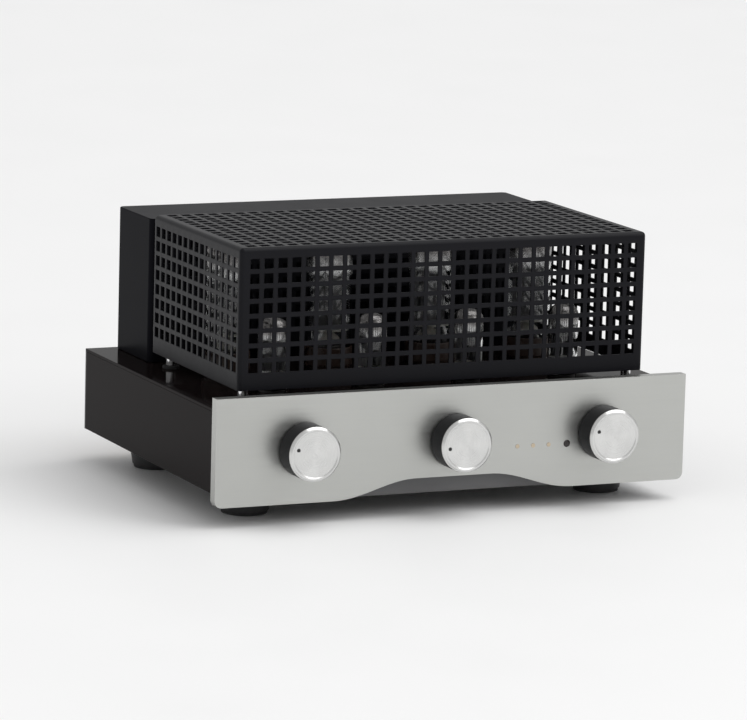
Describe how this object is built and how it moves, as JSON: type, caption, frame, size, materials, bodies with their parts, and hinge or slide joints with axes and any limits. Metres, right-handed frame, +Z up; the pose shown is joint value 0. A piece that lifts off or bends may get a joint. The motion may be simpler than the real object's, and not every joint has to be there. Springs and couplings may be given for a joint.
{
  "type": "integrated amplifier",
  "caption": "Valve integrated amplifier with an arched silver faceplate, turning knobs, a gloss black chassis and a lift-off perforated cage.",
  "frame": {"origin": "on the shelf, at the centre of the whole outline seen from above", "axes": "+Z up, the faceplate and knobs face -Y, the rear connectors face +Y, +X to the right seen from the front"},
  "size_m": [0.355, 0.299, 0.188],
  "materials": {
    "silver_faceplate": "fine brushed, anodised silver",
    "polished_knob": "turned and polished",
    "gloss_black": "gloss black lacquer",
    "sub_front_grey": "satin dark grey paint",
    "satin_black": "satin black powder coat",
    "cage_black": "semi-matt black paint",
    "cover_black": "semi-gloss black paint",
    "plain_aluminium": "as extruded",
    "zinc_steel": "zinc plated",
    "bright_chrome": "mirror plated",
    "foot_plastic": "fine textured",
    "black_rubber": "matt",
    "switch_plastic": "moulded",
    "phenolic": "laminated board",
    "pot_metal": "pressed",
    "led_lens": "clear tinted",
    "ir_window": "dark tinted",
    "circuit_board": "solder resist",
    "brass": "turned",
    "gold_plate": "gold plated",
    "capacitor_sleeve": "shrunk sleeve",
    "valve_glass": "clear",
    "valve_base": "moulded phenolic",
    "valve_metal": "grey carbonised nickel",
    "socket_black": "moulded phenolic",
    "core_iron": "varnished laminations",
    "cap_red": "moulded",
    "cap_black": "moulded",
    "insert_white": "moulded",
    "inlet_plastic": "moulded"
  },
  "bodies": {
    "chassis": {"faceplate": "silver_faceplate", "sub_front": "sub_front_grey", "top_plate": "gloss_black", "left_side": "gloss_black", "right_side": "gloss_black", "rear_panel": "satin_black", "base_plate": "satin_black", "corner_posts": "plain_aluminium", "case_screws": "zinc_steel", "foot_bodies": "foot_plastic", "foot_rings": "bright_chrome", "foot_pads": "black_rubber", "foot_screws": "zinc_steel", "power_switch": "switch_plastic", "volume_pot": "pot_metal", "selector_switch": "phenolic", "shaft_nuts": "zinc_steel", "indicator_leds": "led_lens", "ir_window": "ir_window", "front_board": "circuit_board", "main_board": "circuit_board", "board_standoffs": "brass", "filter_capacitors": "capacitor_sleeve", "power_valves": "valve_glass", "power_valve_bases": "valve_base", "power_valve_plates": "valve_metal", "power_sockets": "socket_black", "signal_valves": "valve_glass", "signal_valve_plates": "valve_metal", "signal_sockets": "socket_black", "cage_bushes": "black_rubber", "transformer_cover": "cover_black", "power_transformer": "core_iron", "left_output_transformer": "core_iron", "right_output_transformer": "core_iron", "speaker_posts": "gold_plate", "speaker_insulators": "cap_black", "phono_sockets": "gold_plate", "phono_inserts": "insert_white", "mains_inlet": "inlet_plastic", "inlet_pins": "zinc_steel"},
    "power_control": {"power_knob": "polished_knob", "power_shaft": "zinc_steel"},
    "volume_control": {"volume_knob": "polished_knob", "volume_shaft": "zinc_steel"},
    "selector_control": {"selector_knob": "polished_knob", "selector_shaft": "zinc_steel"},
    "cage": {"cage_front": "cage_black", "cage_rear": "cage_black", "cage_left": "cage_black", "cage_right": "cage_black", "cage_top": "cage_black", "cage_feet": "bright_chrome"},
    "fuse_carrier": {"fuse_drawer": "inlet_plastic"},
    "post_cap_1": {"speaker_cap_1": "cap_black"},
    "post_cap_2": {"speaker_cap_2": "cap_red"},
    "post_cap_3": {"speaker_cap_3": "cap_red"},
    "post_cap_4": {"speaker_cap_4": "cap_black"},
    "post_cap_5": {"speaker_cap_5": "cap_red"},
    "post_cap_6": {"speaker_cap_6": "cap_red"}
  },
  "joints": [
    {"name": "power_turn", "type": "hinge", "parent": "chassis", "child": "power_control", "pos_m": [-0.113, -0.1395, 0.052], "axis": [0, 1, 0], "range_deg": [0, 60]},
    {"name": "volume_turn", "type": "hinge", "parent": "chassis", "child": "volume_control", "pos_m": [0, -0.1395, 0.052], "axis": [0, 1, 0], "range_deg": [-52, 248]},
    {"name": "selector_turn", "type": "hinge", "parent": "chassis", "child": "selector_control", "pos_m": [0.113, -0.1395, 0.052], "axis": [0, 1, 0], "range_deg": [0, 144]},
    {"name": "cage_lift", "type": "slide", "parent": "chassis", "child": "cage", "axis": [0, 0, 1], "range_m": [0, 0.11]},
    {"name": "fuse_drawer_pull", "type": "slide", "parent": "chassis", "child": "fuse_carrier", "axis": [0, 1, 0], "range_m": [0, 0.018]},
    {"name": "post_cap_1_turn", "type": "hinge", "parent": "chassis", "child": "post_cap_1", "pos_m": [-0.04, 0.141, 0.052], "axis": [0, 1, 0], "range_deg": [-1440, 0]},
    {"name": "post_cap_2_turn", "type": "hinge", "parent": "chassis", "child": "post_cap_2", "pos_m": [-0.015, 0.141, 0.052], "axis": [0, 1, 0], "range_deg": [-1440, 0]},
    {"name": "post_cap_3_turn", "type": "hinge", "parent": "chassis", "child": "post_cap_3", "pos_m": [0.01, 0.141, 0.052], "axis": [0, 1, 0], "range_deg": [-1440, 0]},
    {"name": "post_cap_4_turn", "type": "hinge", "parent": "chassis", "child": "post_cap_4", "pos_m": [0.035, 0.141, 0.052], "axis": [0, 1, 0], "range_deg": [-1440, 0]},
    {"name": "post_cap_5_turn", "type": "hinge", "parent": "chassis", "child": "post_cap_5", "pos_m": [0.06, 0.141, 0.052], "axis": [0, 1, 0], "range_deg": [-1440, 0]},
    {"name": "post_cap_6_turn", "type": "hinge", "parent": "chassis", "child": "post_cap_6", "pos_m": [0.085, 0.141, 0.052], "axis": [0, 1, 0], "range_deg": [-1440, 0]}
  ]
}
